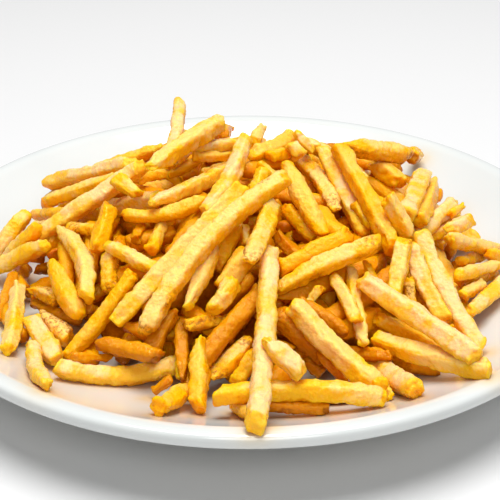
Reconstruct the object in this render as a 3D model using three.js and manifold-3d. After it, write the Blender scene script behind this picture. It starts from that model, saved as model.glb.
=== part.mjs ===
// A portion of french fries heaped on a round, shallow dinner plate.
// Millimetres, +Z up. The origin is on the table, under the middle of the plate.

import * as THREE from "three";
import { mergeVertices } from "three/addons/utils/BufferGeometryUtils.js";
import Module from "manifold-3d";

const wasm = await Module();
wasm.setup();

// ---- plate ----
const PLATE_RADIUS = 127; // a 10 inch dinner plate
const RIM_HEIGHT = 28; // top of the lip above the table
const LIP_DEPTH = 4.6; // height of the lip's outer face
const LIP_WIDTH = 5; // across the top of the lip
const LIP_ROUND = 2; // radius of the lip's upper edge
const LIP_CHAMFER = 0.8; // along its lower edge
const LIP_UNDERCUT = 0.6; // how far the wall's outside drops below the lip's lower edge
const FLOOR_HEIGHT = 8; // upper face of the plate's flat middle
const FLOOR_RADIUS = 56; // where the wall starts to rise
const WALL_CURL = 1.9; // how late the wall turns up
const WALL = 4.4; // thickness of the glazed body
const FOOT_RADIUS = 70; // outer edge of the foot ring
const FOOT_WIDTH = 6;
const FOOT_ROUND = 1.2;
const FOOT_SPLAY = 1; // how far the foot ring widens on its way up
const FOOT_JOIN = 4; // clear of the foot ring, where the wall's outside follows its inside
const PLATE_FACETS = 48;
const WALL_STEPS = 5;
const PLATE_GAP = 0.3; // clear space between the food and the glaze

// ---- heap ----
const HEAP_RADIUS = 108; // how far the heap spreads over the plate
const HEAP_HEIGHT = 58; // its top above the plate's middle
const HEAP_ROUNDING = 0.8; // below 1 the flanks are steeper than a parabola's
const SKIRT = 2; // fall of the mound's surface for each millimetre outside its foot
const OVERHANG = 4; // how far a fry on the far side may reach past the heap's foot
const CORE_RADIUS = 104; // the solid middle that carries the outer fries
const CORE_HEIGHT = 48;
const CORE_FACETS = 40;
const CORE_RINGS = 8;

// ---- fries ----
const SHORTEST_FRY = 42;
const LONGEST_FRY = 76;
const THINNEST_FRY = 5.6;
const THICKEST_FRY = 7.4;
const BOW = 4; // the most that a fry bends to one side
const BAR_SIDE = 0.97; // side of the square bar against the width of the rounded fry
const BAR_END = 0.84; // size of its ends against its middle
const BAR_STEPS = 4;
const STATIONS = 10; // steps along a fry's path
const BEADS = 24; // steps along a fry where its distance to the others is measured

// ---- how they lie ----
const PRESSED = 0.88; // how close two fries lie where they cross, against their widths
const CROSSING_STEPS = 16; // steps along a drawn fry where its crossings are measured
const BEHIND_CREST = 12; // how far behind the mound's surface a lone fry lies
const SETTLING = 60; // passes in which the drawn fries find their depths
const PULL = 0.04; // how strongly each pass draws a fry back to the mound's surface
const FAR_TURN = THREE.MathUtils.degToRad(-12); // turns the far side against the near one
const FAR_SHORTEST = 20; // below this a mirrored fry is left out
const FAR_LAYERS = [[10, 8.5], [5, 3.5], [0, -2]]; // how deep its other fries lie, layer by layer
const FAR_TRIES = 4000; // for each layer
const FAR_PRESSED = 0.8; // how close they lie to the others, against their widths
const FAR_PLACES = [10, 104]; // nearest to and farthest from the plate's middle
const SEED = 20731;

// ---- the drawing that the heap is laid out from ----
// A perspective drawing, seen along a line square to X. Across and down are counted from its
// upper left corner.
const DRAWING_MIDDLE = 250; // across and down of the point that the eye looks at
const DRAWING_LENS = 1180.6; // one unit is this part of the distance along the line of sight
const SIGHT_ANGLE = THREE.MathUtils.degToRad(28); // above the table
const EYE_DISTANCE = 456;
const AIM = new THREE.Vector3(0.5, 0, 22); // the point that the eye looks at
const SIGHT_DEPTHS = [300, 560]; // from the eye, where the food begins and ends

// Fries that show in the drawing, from the deepest to the topmost.
// Each row: across and down of one end, across and down of the other, bow, width.
const DRAWN_FRIES = [
  // back left slope
  [203, 212, 168, 262, 0, 16],
  [143, 222, 135, 240, 0, 12],
  [163, 222, 152, 250, 0, 13],
  [95, 170, 163, 148, 0, 12],
  [141, 184, 180, 184, -10, 12],
  [168, 173, 202, 160, 0, 13],
  [60, 207, 100, 190, 0, 12],
  [32, 215, 70, 212, 0, 12],
  [47, 183, 132, 163, 0, 14],
  [45, 201, 115, 177, 1, 13],
  [38, 237, 143, 165, 0, 17],
  [179, 102, 170, 162, -2, 14],
  [168, 164, 190, 150, 0, 12],
  [138, 195, 116, 178, 0, 19],
  // left flank
  [34, 303, 78, 322, 0, 11],
  [68, 285, 92, 312, 0, 13],
  [27, 212, -8, 258, 0, 18],
  [38, 229, 3, 262, 0, 15],
  [-10, 270, 47, 244, 0, 17],
  [14, 272, 0, 320, 0, 14],
  [30, 288, 58, 299, 0, 16],
  [18, 286, 8, 350, -2, 16],
  [42, 315, 70, 340, 0, 22],
  [56, 262, 82, 316, 5, 20],
  [66, 228, 106, 231, 0, 14],
  [60, 230, 85, 298, -11, 17],
  [111, 206, 96, 252, 0, 17],
  [110, 254, 108, 292, 0, 16],
  [107, 244, 165, 275, 0, 15],
  [122, 214, 206, 198, 8, 15],
  [150, 203, 232, 166, 3, 15],
  // crest, left of the middle
  [193, 157, 232, 155, 0, 12],
  [190, 147, 246, 143, 0, 13],
  [223, 122, 150, 168, 1.5, 17],
  [263, 126, 254, 142, 0, 13],
  [292, 136, 250, 155, -3, 17],
  [246, 137, 205, 215, -4.5, 17],
  // front left corner
  [64, 359, 133, 272, 4, 17],
  [33, 322, 57, 362, 0, 20],
  [33, 345, 48, 385, 5, 16],
  [55, 366, 185, 361, 12.5, 19],
  // crest, right of the middle
  [300, 141, 320, 147, 0, 12],
  [295, 131, 313, 152, 0, 13],
  [268, 157, 306, 150, 0, 13],
  [301, 157, 290, 143, 0, 18],
  [259, 163, 282, 182, 0, 11],
  [263, 170, 250, 210, 0, 16],
  [275, 235, 297, 255, 0, 16],
  [284, 206, 315, 238, 0, 18],
  [288, 166, 325, 236, 2, 20],
  [322, 148, 365, 236, 0, 16],
  [367, 165, 401, 184, -3, 18],
  [345, 147, 411, 155, 0, 19],
  [354, 202, 372, 228, 0, 13],
  [339, 147, 395, 250, 0, 17],
  // right flank
  [436, 250, 467, 318, 0, 15],
  [425, 232, 446, 246, 0, 13],
  [436, 226, 458, 214, 0, 12],
  [424, 240, 452, 226, 0, 13],
  [454, 202, 412, 242, 0, 17],
  [450, 215, 463, 206, 0, 12],
  [471, 219, 447, 231, 0, 17],
  [433, 183, 420, 222, 0, 15],
  [424, 172, 406, 216, 0, 18],
  [387, 196, 409, 235, 0, 16],
  [461, 262, 492, 252, 0, 12],
  [448, 239, 503, 251, 0, 15],
  [488, 252, 505, 262, 0, 14],
  [458, 281, 497, 273, 0, 14],
  [457, 275, 503, 264, 0, 13],
  [462, 297, 482, 283, 0, 12],
  [512, 275, 469, 313, 0, 16],
  [422, 236, 481, 350, 4, 18],
  [411, 243, 448, 323, 4.5, 18],
  [408, 277, 411, 304, 0, 12],
  [450, 325, 462, 342, 0, 14],
  // front right
  [368, 362, 416, 390, 0, 22],
  [391, 396, 372, 378, 0, 14],
  [375, 318, 450, 352, 0, 16],
  [377, 340, 491, 371, 2, 19],
  [342, 352, 392, 356, 0, 15],
  [366, 260, 377, 288, 0, 13],
  [350, 267, 363, 345, 0, 14],
  [333, 274, 358, 322, 0, 15],
  [320, 286, 307, 307, 0, 13],
  [405, 238, 393, 298, 0, 17],
  [361, 279, 478, 358, 0, 20],
  [351, 234, 278, 270, 0, 20],
  [381, 242, 276, 290, 3, 18],
  // front middle
  [300, 300, 348, 334, 0, 16],
  [187, 352, 187, 398, 0, 10],
  [176, 360, 180, 380, 0, 9],
  [305, 358, 322, 374, 0, 14],
  [238, 222, 216, 268, 0, 18],
  [232, 403, 264, 422, 0, 14],
  [181, 320, 183, 381, 0, 14],
  [172, 310, 147, 358, 0, 20],
  [112, 357, 72, 358, 0, 10],
  [100, 343, 160, 357, 0, 17],
  [184, 326, 228, 320, 0, 15],
  [246, 224, 245, 245, 0, 10],
  [250, 250, 222, 290, 0, 22],
  [234, 282, 213, 312, 0, 19],
  [152, 393, 172, 378, 0, 13],
  [190, 388, 158, 408, 0, 20],
  [252, 340, 212, 380, 0, 18],
  [262, 290, 197, 365, 0, 20],
  [200, 338, 197, 408, 0, 18],
  [257, 352, 235, 385, 0, 18],
  [275, 312, 330, 362, 0, 24],
  [318, 352, 346, 384, 0, 14],
  [292, 303, 381, 390, 3, 21],
  [262, 404, 328, 408, 0, 15],
  [215, 397, 386, 398, -7, 20],
  [270, 249, 256, 426, -2, 20],
  [264, 338, 303, 374, 0, 21],
  // long fries on top
  [218, 238, 187, 308, 0, 18],
  [240, 189, 116, 321, 0, 19],
  [272, 203, 249, 262, -2, 18],
  [288, 176, 145, 331, 15, 19],
];

// Minimal standard random draws, the same on every run.
let seed = SEED;
function draw(low = 0, high = 1) {
  seed = (seed * 16807) % 2147483647;
  return low + ((high - low) * seed) / 2147483647;
}

// Height of the glaze at a distance from the plate's middle.
function glazeHeight(radius) {
  const rise = Math.max(0, radius - FLOOR_RADIUS) / (PLATE_RADIUS - LIP_WIDTH - FLOOR_RADIUS);
  return FLOOR_HEIGHT + (RIM_HEIGHT - FLOOR_HEIGHT) * Math.min(1, rise) ** WALL_CURL;
}

// Height of a mound of fries over the plate, falling away as a cone outside its foot.
function moundHeight(radius, spread, height) {
  if (radius > spread) return FLOOR_HEIGHT - SKIRT * (radius - spread);
  return FLOOR_HEIGHT + height * (1 - (radius / spread) ** 2) ** HEAP_ROUNDING;
}

// ---- sight lines ----
const ahead = new THREE.Vector3(0, Math.cos(SIGHT_ANGLE), -Math.sin(SIGHT_ANGLE));
const above = new THREE.Vector3(0, Math.sin(SIGHT_ANGLE), Math.cos(SIGHT_ANGLE));
const eye = AIM.clone().addScaledVector(ahead, -EYE_DISTANCE);

function fromDrawing(across, down, depth) {
  const unit = depth / DRAWING_LENS;
  return eye
    .clone()
    .addScaledVector(ahead, depth)
    .addScaledVector(above, (DRAWING_MIDDLE - down) * unit)
    .add(new THREE.Vector3((across - DRAWING_MIDDLE) * unit, 0, 0));
}

function toDrawing(point) {
  const offset = point.clone().sub(eye);
  const depth = offset.dot(ahead);
  const units = DRAWING_LENS / depth;
  const across = DRAWING_MIDDLE + offset.x * units;
  const down = DRAWING_MIDDLE - offset.dot(above) * units;
  return { across, down, depth, units };
}

// Walks down a sight line to the first point under a surface, or to the point that comes
// closest to it where it passes over.
function meet(across, down, surface) {
  const nearest = { depth: 0, gap: Infinity };
  for (let depth = SIGHT_DEPTHS[0]; depth < SIGHT_DEPTHS[1]; depth++) {
    const point = fromDrawing(across, down, depth);
    const gap = point.z - surface(point.x, point.y);
    if (gap <= 0) return depth;
    if (gap < nearest.gap) Object.assign(nearest, { depth, gap });
  }
  return nearest.depth;
}

const mound = (x, y) => moundHeight(Math.hypot(x, y), HEAP_RADIUS, HEAP_HEIGHT);
const crest = (x, y) => Math.max(mound(x, y), glazeHeight(Math.hypot(x, y)));

// ---- the drawn fries ----
// Each keeps its place in the drawing. Only the depths of its two ends are free.
const drawn = DRAWN_FRIES.map(([across0, down0, across1, down1, bow, width]) => {
  const length = Math.hypot(across1 - across0, down1 - down0);
  const place = (s) => {
    const off = (bow * 4 * s * (1 - s)) / length;
    return [
      across0 + (across1 - across0) * s - (down1 - down0) * off,
      down0 + (down1 - down0) * s + (across1 - across0) * off,
    ];
  };
  const home = [0, 1].map((s) => meet(...place(s), mound) + BEHIND_CREST);
  const radius = (width * (home[0] + home[1])) / 4 / DRAWING_LENS;
  return { place, width, radius, home, depths: [...home] };
});

const depthAt = (fry, s) => fry.depths[0] * (1 - s) + fry.depths[1] * s;
const pointAt = (fry, s) => fromDrawing(...fry.place(s), depthAt(fry, s));

// Moves a fry along the sight line through one of its points, and its ends along with it.
function shift(fry, s, way) {
  const share = way / ((1 - s) ** 2 + s ** 2);
  fry.depths[0] += share * (1 - s);
  fry.depths[1] += share * s;
}

// Every place where one fry passes in front of another, and how far apart they must be there.
function crossings(under, over) {
  const found = [];
  const reach = (under.width + over.width) / 2;
  const unit = (under.home[0] + over.home[0]) / 2 / DRAWING_LENS;
  for (let a = 0; a <= CROSSING_STEPS; a++)
    for (let b = 0; b <= CROSSING_STEPS; b++) {
      const [across0, down0] = under.place(a / CROSSING_STEPS);
      const [across1, down1] = over.place(b / CROSSING_STEPS);
      const off = Math.hypot(across1 - across0, down1 - down0);
      if (off < reach)
        found.push({
          a: a / CROSSING_STEPS,
          b: b / CROSSING_STEPS,
          gap: Math.sqrt(reach ** 2 - off ** 2) * unit,
        });
    }
  return found;
}

const pairs = [];
drawn.forEach((over, n) => {
  for (const under of drawn.slice(0, n)) {
    const places = crossings(under, over);
    if (places.length) pairs.push({ under, over, places });
  }
});

for (let pass = 0; pass < SETTLING; pass++) {
  for (const fry of drawn)
    fry.depths = fry.depths.map((depth, end) => depth + PULL * (fry.home[end] - depth));
  for (const { under, over, places } of pairs) {
    const overlap = ({ a, b, gap }) => gap * PRESSED - depthAt(under, a) + depthAt(over, b);
    const worst = places.reduce((most, place) => (overlap(place) > overlap(most) ? place : most));
    const push = overlap(worst) / 2;
    if (push <= 0) continue;
    shift(under, worst.a, push);
    shift(over, worst.b, -push);
  }
  for (const fry of drawn)
    for (let k = 0; k <= STATIONS; k++) {
      const point = pointAt(fry, k / STATIONS);
      const sunk = glazeHeight(Math.hypot(point.x, point.y)) + PLATE_GAP + fry.radius - point.z;
      if (sunk > 0) shift(fry, k / STATIONS, -sunk);
    }
}

const fries = [];
function beadsOf(path) {
  return Array.from({ length: BEADS + 1 }, (_, k) => {
    const place = (k / BEADS) * STATIONS;
    const before = Math.min(Math.floor(place), STATIONS - 1);
    return path[before].clone().lerp(path[before + 1], place - before);
  });
}

function keep(path, radius) {
  fries.push({ path, radius, beads: beadsOf(path), roll: draw(0, Math.PI / 2) });
}

for (const fry of drawn) {
  const path = Array.from({ length: STATIONS + 1 }, (_, k) => pointAt(fry, k / STATIONS));
  keep(path, fry.radius);
}

// ---- what the drawing leaves free ----
// Over a grid of cells: how near the drawn fries come, and minus infinity where only the core
// is behind. Past the heap's outline nothing may show.
const CELL = 3;
const [LEFT, TOP] = [-50, 60];
const [COLUMNS, ROWS] = [200, 140];
const nearness = new Float64Array(COLUMNS * ROWS).fill(Infinity);

function cellAt(across, down) {
  const column = Math.round((across - LEFT) / CELL);
  const row = Math.round((down - TOP) / CELL);
  return column < 0 || row < 0 || column >= COLUMNS || row >= ROWS ? -1 : row * COLUMNS + column;
}

const insideCore = ({ x, y, z }) => z < moundHeight(Math.hypot(x, y), CORE_RADIUS, CORE_HEIGHT);
for (let row = 0; row < ROWS; row++)
  for (let column = 0; column < COLUMNS; column++)
    for (let depth = SIGHT_DEPTHS[0]; depth < SIGHT_DEPTHS[1]; depth += 2) {
      const point = fromDrawing(LEFT + column * CELL, TOP + row * CELL, depth);
      if (point.z < FLOOR_HEIGHT || !insideCore(point)) continue;
      nearness[row * COLUMNS + column] = -Infinity;
      break;
    }
for (const { beads, radius } of fries)
  for (const point of beads) {
    const { across, down, depth, units } = toDrawing(point);
    const span = radius * units;
    for (let u = -span; u <= span; u += CELL)
      for (let v = -span; v <= span; v += CELL) {
        const cell = cellAt(across + u, down + v);
        if (cell < 0 || Math.hypot(u, v) > span) continue;
        const before = nearness[cell] === Infinity ? -Infinity : nearness[cell];
        nearness[cell] = Math.max(before, -depth);
      }
  }

function leavesDrawing(point, radius) {
  return [0, 0.8 * radius].every((lift) => {
    const { across, down, depth } = toDrawing(point.clone().addScaledVector(above, lift));
    const cell = cellAt(across, down);
    if (cell < 0 || nearness[cell] === -Infinity) return true;
    return nearness[cell] < Infinity && -depth < nearness[cell];
  });
}

// ---- the far side ----
// A fry at a place and turn of its own, with its ends a little under the mound's surface.
function scattered([deepest, highest]) {
  const angle = draw(0, Math.PI);
  const place = Math.sqrt(draw(FAR_PLACES[0] ** 2, FAR_PLACES[1] ** 2));
  const length = draw(SHORTEST_FRY, LONGEST_FRY);
  const radius = draw(THINNEST_FRY, THICKEST_FRY) / 2;
  const turn = draw(0, Math.PI);
  const bow = draw(-BOW, BOW);
  const sunk = [draw(highest, deepest), draw(highest, deepest)];
  const ways = [-0.5, 0.5].map((half) => [
    Math.cos(angle) * place + Math.cos(turn) * length * half,
    Math.sin(angle) * place + Math.sin(turn) * length * half,
  ]);
  const heights = ways.map(([x, y], end) => crest(x, y) - radius - sunk[end]);
  const path = [];
  for (let k = 0; k <= STATIONS; k++) {
    const s = k / STATIONS;
    const aside = bow * 4 * s * (1 - s);
    path.push(
      new THREE.Vector3(
        THREE.MathUtils.lerp(ways[0][0], ways[1][0], s) - Math.sin(turn) * aside,
        THREE.MathUtils.lerp(ways[0][1], ways[1][1], s) + Math.cos(turn) * aside,
        THREE.MathUtils.lerp(heights[0], heights[1], s),
      ),
    );
  }
  const lift = Math.max(
    0,
    ...path.map(({ x, y, z }) => glazeHeight(Math.hypot(x, y)) + PLATE_GAP + radius - z),
  );
  for (const point of path) point.z += lift;
  return { path, radius };
}

const insidePlate = (path) => path.every(({ x, y }) => Math.hypot(x, y) < HEAP_RADIUS + OVERHANG);

function clearOf(others, path, radius) {
  const beads = beadsOf(path);
  const middle = beads[BEADS / 2];
  return others.every((fry) => {
    if (middle.distanceTo(fry.beads[BEADS / 2]) > LONGEST_FRY + THICKEST_FRY) return true;
    const gap = (radius + fry.radius) * FAR_PRESSED;
    return beads.every((a) => fry.beads.every((b) => a.distanceToSquared(b) > gap * gap));
  });
}

const hidden = (path, radius) => path.every((point) => leavesDrawing(point, radius));

// It repeats the near side, mirrored and turned, and has more fries in between.
const near = [...fries];
const axis = new THREE.Vector3(0, 0, 1);
for (const { path, radius } of near) {
  if (path[0].distanceTo(path[STATIONS]) < FAR_SHORTEST) continue;
  const mirrored = path.map(({ x, y, z }) => new THREE.Vector3(x, -y, z).applyAxisAngle(axis, FAR_TURN));
  if (hidden(mirrored, radius) && clearOf(near, mirrored, radius)) keep(mirrored, radius);
}
for (const layer of FAR_LAYERS)
  for (let n = 0; n < FAR_TRIES; n++) {
    const { path, radius } = scattered(layer);
    const fits = insidePlate(path) && hidden(path, radius) && clearOf(fries, path, radius);
    if (fits) keep(path, radius);
  }

// ---- solids ----
function solidOf(geometry) {
  const bare = new THREE.BufferGeometry();
  bare.setAttribute("position", geometry.getAttribute("position"));
  bare.setIndex(geometry.getIndex());
  const merged = mergeVertices(bare, 1e-4);
  return new wasm.Manifold(
    new wasm.Mesh({
      numProp: 3,
      vertProperties: new Float32Array(merged.getAttribute("position").array),
      triVerts: new Uint32Array(merged.getIndex().array),
    }),
  );
}

function geometryOf(solid) {
  const mesh = solid.getMesh();
  const geometry = new THREE.BufferGeometry();
  geometry.setAttribute("position", new THREE.BufferAttribute(mesh.vertProperties, 3));
  geometry.setIndex(new THREE.BufferAttribute(mesh.triVerts, 1));
  return geometry;
}

// A lathe turned about Z from a profile of [radius, height] points that ends on the axis.
function turned(profile, facets) {
  const points = profile.map(([radius, height]) => new THREE.Vector2(radius, height));
  return new THREE.LatheGeometry(points, facets).rotateX(Math.PI / 2);
}

// A square bar bent along a fry's path, a little smaller at its ends.
function bar({ path, radius, roll }) {
  const curve = new THREE.CatmullRomCurve3(path);
  const geometry = new THREE.BoxGeometry(1, 1, 1, BAR_STEPS, 1, 1);
  const position = geometry.getAttribute("position");
  const up = new THREE.Vector3(0, 0, 1);
  for (let i = 0; i < position.count; i++) {
    const s = position.getX(i) + 0.5;
    const tangent = curve.getTangent(s);
    const across = new THREE.Vector3().crossVectors(up, tangent).normalize();
    const lift = new THREE.Vector3().crossVectors(tangent, across);
    const size = 2 * radius * BAR_SIDE * (s > 0.01 && s < 0.99 ? 1 : BAR_END);
    const offset = new THREE.Vector2(position.getY(i), position.getZ(i))
      .multiplyScalar(size)
      .rotateAround(new THREE.Vector2(), roll);
    const point = curve
      .getPoint(s)
      .addScaledVector(across, offset.x)
      .addScaledVector(lift, offset.y);
    position.setXYZ(i, point.x, point.y, point.z);
  }
  return geometry;
}

function wallProfile(offset) {
  const profile = [];
  for (let k = 0; k <= WALL_STEPS; k++) {
    const radius = THREE.MathUtils.lerp(FLOOR_RADIUS, PLATE_RADIUS - LIP_WIDTH, k / WALL_STEPS);
    profile.push([radius, glazeHeight(radius) + offset]);
  }
  return profile;
}

function plateGeometry() {
  const footInner = FOOT_RADIUS - FOOT_WIDTH;
  const underside = FLOOR_HEIGHT - WALL;
  const lipTop = [0, 30, 60, 90].map((degrees) => {
    const angle = THREE.MathUtils.degToRad(degrees);
    return [
      PLATE_RADIUS - LIP_ROUND * (1 - Math.cos(angle)),
      RIM_HEIGHT - LIP_ROUND * (1 - Math.sin(angle)),
    ];
  });
  const outerWall = wallProfile(-WALL).filter(([radius]) => radius > FOOT_RADIUS + FOOT_JOIN);
  return turned(
    [
      [0, underside],
      [footInner - FOOT_ROUND, underside],
      [footInner + FOOT_ROUND, 0],
      [FOOT_RADIUS - FOOT_ROUND, 0],
      [FOOT_RADIUS, FOOT_ROUND],
      [FOOT_RADIUS + FOOT_SPLAY, glazeHeight(FOOT_RADIUS) - WALL],
      ...outerWall.slice(0, -1),
      [PLATE_RADIUS - LIP_WIDTH, RIM_HEIGHT - LIP_DEPTH - LIP_UNDERCUT],
      [PLATE_RADIUS - LIP_CHAMFER, RIM_HEIGHT - LIP_DEPTH],
      [PLATE_RADIUS, RIM_HEIGHT - LIP_DEPTH + LIP_CHAMFER],
      ...lipTop,
      ...wallProfile(0).reverse(),
      [0, FLOOR_HEIGHT],
    ],
    PLATE_FACETS,
  );
}

function heapGeometry() {
  const dome = [[0, FLOOR_HEIGHT + PLATE_GAP]];
  for (let k = 0; k <= CORE_RINGS; k++) {
    const radius = CORE_RADIUS * Math.cos(((k / CORE_RINGS) * Math.PI) / 2);
    dome.push([k === CORE_RINGS ? 0 : radius, moundHeight(radius, CORE_RADIUS, CORE_HEIGHT)]);
  }
  dome[1] = [CORE_RADIUS, FLOOR_HEIGHT + PLATE_GAP];
  const core = solidOf(turned(dome, CORE_FACETS));
  const heap = wasm.Manifold.union([core, ...fries.map((fry) => solidOf(bar(fry)))]);
  const outside = PLATE_RADIUS + 2 * OVERHANG;
  const dish = solidOf(
    turned(
      [
        [0, 0],
        [outside, 0],
        [outside, RIM_HEIGHT + PLATE_GAP],
        ...wallProfile(PLATE_GAP).reverse(),
        [0, FLOOR_HEIGHT + PLATE_GAP],
      ],
      PLATE_FACETS,
    ),
  );
  const bodies = heap
    .subtract(dish)
    .simplify(0.02)
    .decompose()
    .sort((a, b) => b.volume() - a.volume());
  return geometryOf(bodies[0]);
}

// ---- the portion ----
const glaze = new THREE.MeshStandardMaterial({ color: 0xf4f3f0, roughness: 0.12, metalness: 0 });
const potato = new THREE.MeshStandardMaterial({ color: 0xeab54a, roughness: 0.6, metalness: 0 });

const plate = new THREE.Mesh(plateGeometry(), glaze);
plate.name = "plate";
const heap = new THREE.Mesh(heapGeometry(), potato);
heap.name = "fries";

const portion = new THREE.Group();
portion.add(plate, heap);
export default portion;
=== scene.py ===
import math

import bmesh
import bpy
import numpy as np
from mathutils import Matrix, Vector


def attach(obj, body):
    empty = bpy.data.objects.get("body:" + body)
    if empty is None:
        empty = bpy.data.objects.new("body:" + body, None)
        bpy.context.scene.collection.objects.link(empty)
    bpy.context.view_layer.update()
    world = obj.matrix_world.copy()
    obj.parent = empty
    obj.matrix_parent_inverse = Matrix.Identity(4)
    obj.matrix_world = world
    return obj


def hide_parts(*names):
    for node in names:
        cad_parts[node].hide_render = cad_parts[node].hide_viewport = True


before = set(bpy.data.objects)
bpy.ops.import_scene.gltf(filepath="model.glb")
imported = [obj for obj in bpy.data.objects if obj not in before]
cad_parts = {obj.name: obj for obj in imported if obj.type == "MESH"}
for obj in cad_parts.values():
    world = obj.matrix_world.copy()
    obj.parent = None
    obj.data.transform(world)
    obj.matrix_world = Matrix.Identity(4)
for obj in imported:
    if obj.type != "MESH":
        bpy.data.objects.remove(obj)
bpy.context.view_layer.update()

# A portion of french fries heaped on a white dinner plate. Lengths are in millimetres, and a
# finished mesh is written in metres.
MM = 0.001
TINY = 1e-9  # keeps a divisor off zero, and the end of a range in it

# ---- plate ----
PLATE_RADIUS = 127
RIM_HEIGHT = 28
LIP_DEPTH = 4.6  # height of the lip's outer face
LIP_WIDTH = 5
LIP_ROUND = 2
LIP_DROP = 0.6  # how much lower the lip's inner edge hangs than its outer face
LIP_CORNER = (0.7, 0.8)  # width and height of the cut at the outer face's foot
FLOOR_HEIGHT = 8
FLOOR_RADIUS = 56
WALL_CURL = 1.9
WALL = 4.4
FOOT_RADIUS = 70
FOOT_WIDTH = 6
FOOT_ROUND = 1.2
FOOT_BLEND = 1  # from the foot's outer side to the underside
UNDER_START = 4  # from the foot to the first turned ring of the underside
PLATE_GAP = 0.3  # between the glaze and what lies on it

# ---- heap ----
HEAP_RADIUS = 108
HEAP_HEIGHT = 58
HEAP_ROUNDING = 0.8
SKIRT_SLOPE = 2  # how steeply the mound falls away outside its foot
OVERHANG = 4  # how far a fry may reach past the mound's foot
CORE_RADIUS = 104
CORE_HEIGHT = 48

# ---- fries ----
SHORTEST_FRY = 42
LONGEST_FRY = 76
THINNEST_FRY = 5.6
THICKEST_FRY = 7.4
BOW = 4  # at most, to either side
STATIONS = 10  # steps along a fry's middle line
ALONG = np.arange(STATIONS + 1) / STATIONS
BEADS = 24  # steps along it at which fries are kept apart
BEADS_ALONG = np.arange(BEADS + 1) / BEADS

# ---- how they lie ----
PRESSED = 0.88  # how far apart crossing fries lie, of what keeps them clear
CROSSING_STEPS = 16
BEHIND_CREST = 12  # how far behind the mound's surface a drawn fry's end is at home
SETTLING = 60
PULL = 0.04  # towards its home, in each round of settling
FAR_TURN = math.radians(-12)
FAR_SHORTEST = 20
FAR_LAYERS = ((10, 8.5), (5, 3.5), (0, -2))  # lowest and highest, under the mound's surface
FAR_TRIES = 4000
FAR_PRESSED = 0.8
FAR_ANGLES = (0, math.pi)
FAR_PLACES = (10, 104)  # from the plate's middle
UPPER_EDGE = 0.8  # of a fry's radius, above its middle line
SEED = 20731
MULTIPLIER = 16807
MODULUS = 2147483647
BAY_CELLS = 3  # widest bay of the outline that is filled
LOW_TRIES = 6500  # for the fries that show only in the gaps
LOW_PLACE = 106  # how far from the plate's middle one may be tried
LOW_LENGTHS = (13, 45)
LOW_DEEPEST = 38
LOW_LAYERS = (5, 36)  # it lies under the fries down to this depth, and over the deeper ones
LOW_TILT = 25  # how much deeper one end may lie than the other
LOW_PRESSED = 0.75
LOW_SIGHT = 90  # how far off a fry is still looked at
STUFFED_TRIES = 3000  # the last of the tries
STUFFED_DEEPER = (2, 30)
STUFFED_TILT = 0.35
STUFFED_PRESSED = 0.55

# ---- the drawing that the heap is laid out from ----
DRAWING_MIDDLE = 250
DRAWING_LENS = 1180.6
SIGHT_ANGLE = math.radians(28)
EYE_DISTANCE = 456
AIM = np.array([0.5, 0, 22])
SIGHT_DEPTHS = (300, 560)
CORE_STEP = 2  # along the sight lines, where the core is looked for

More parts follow.
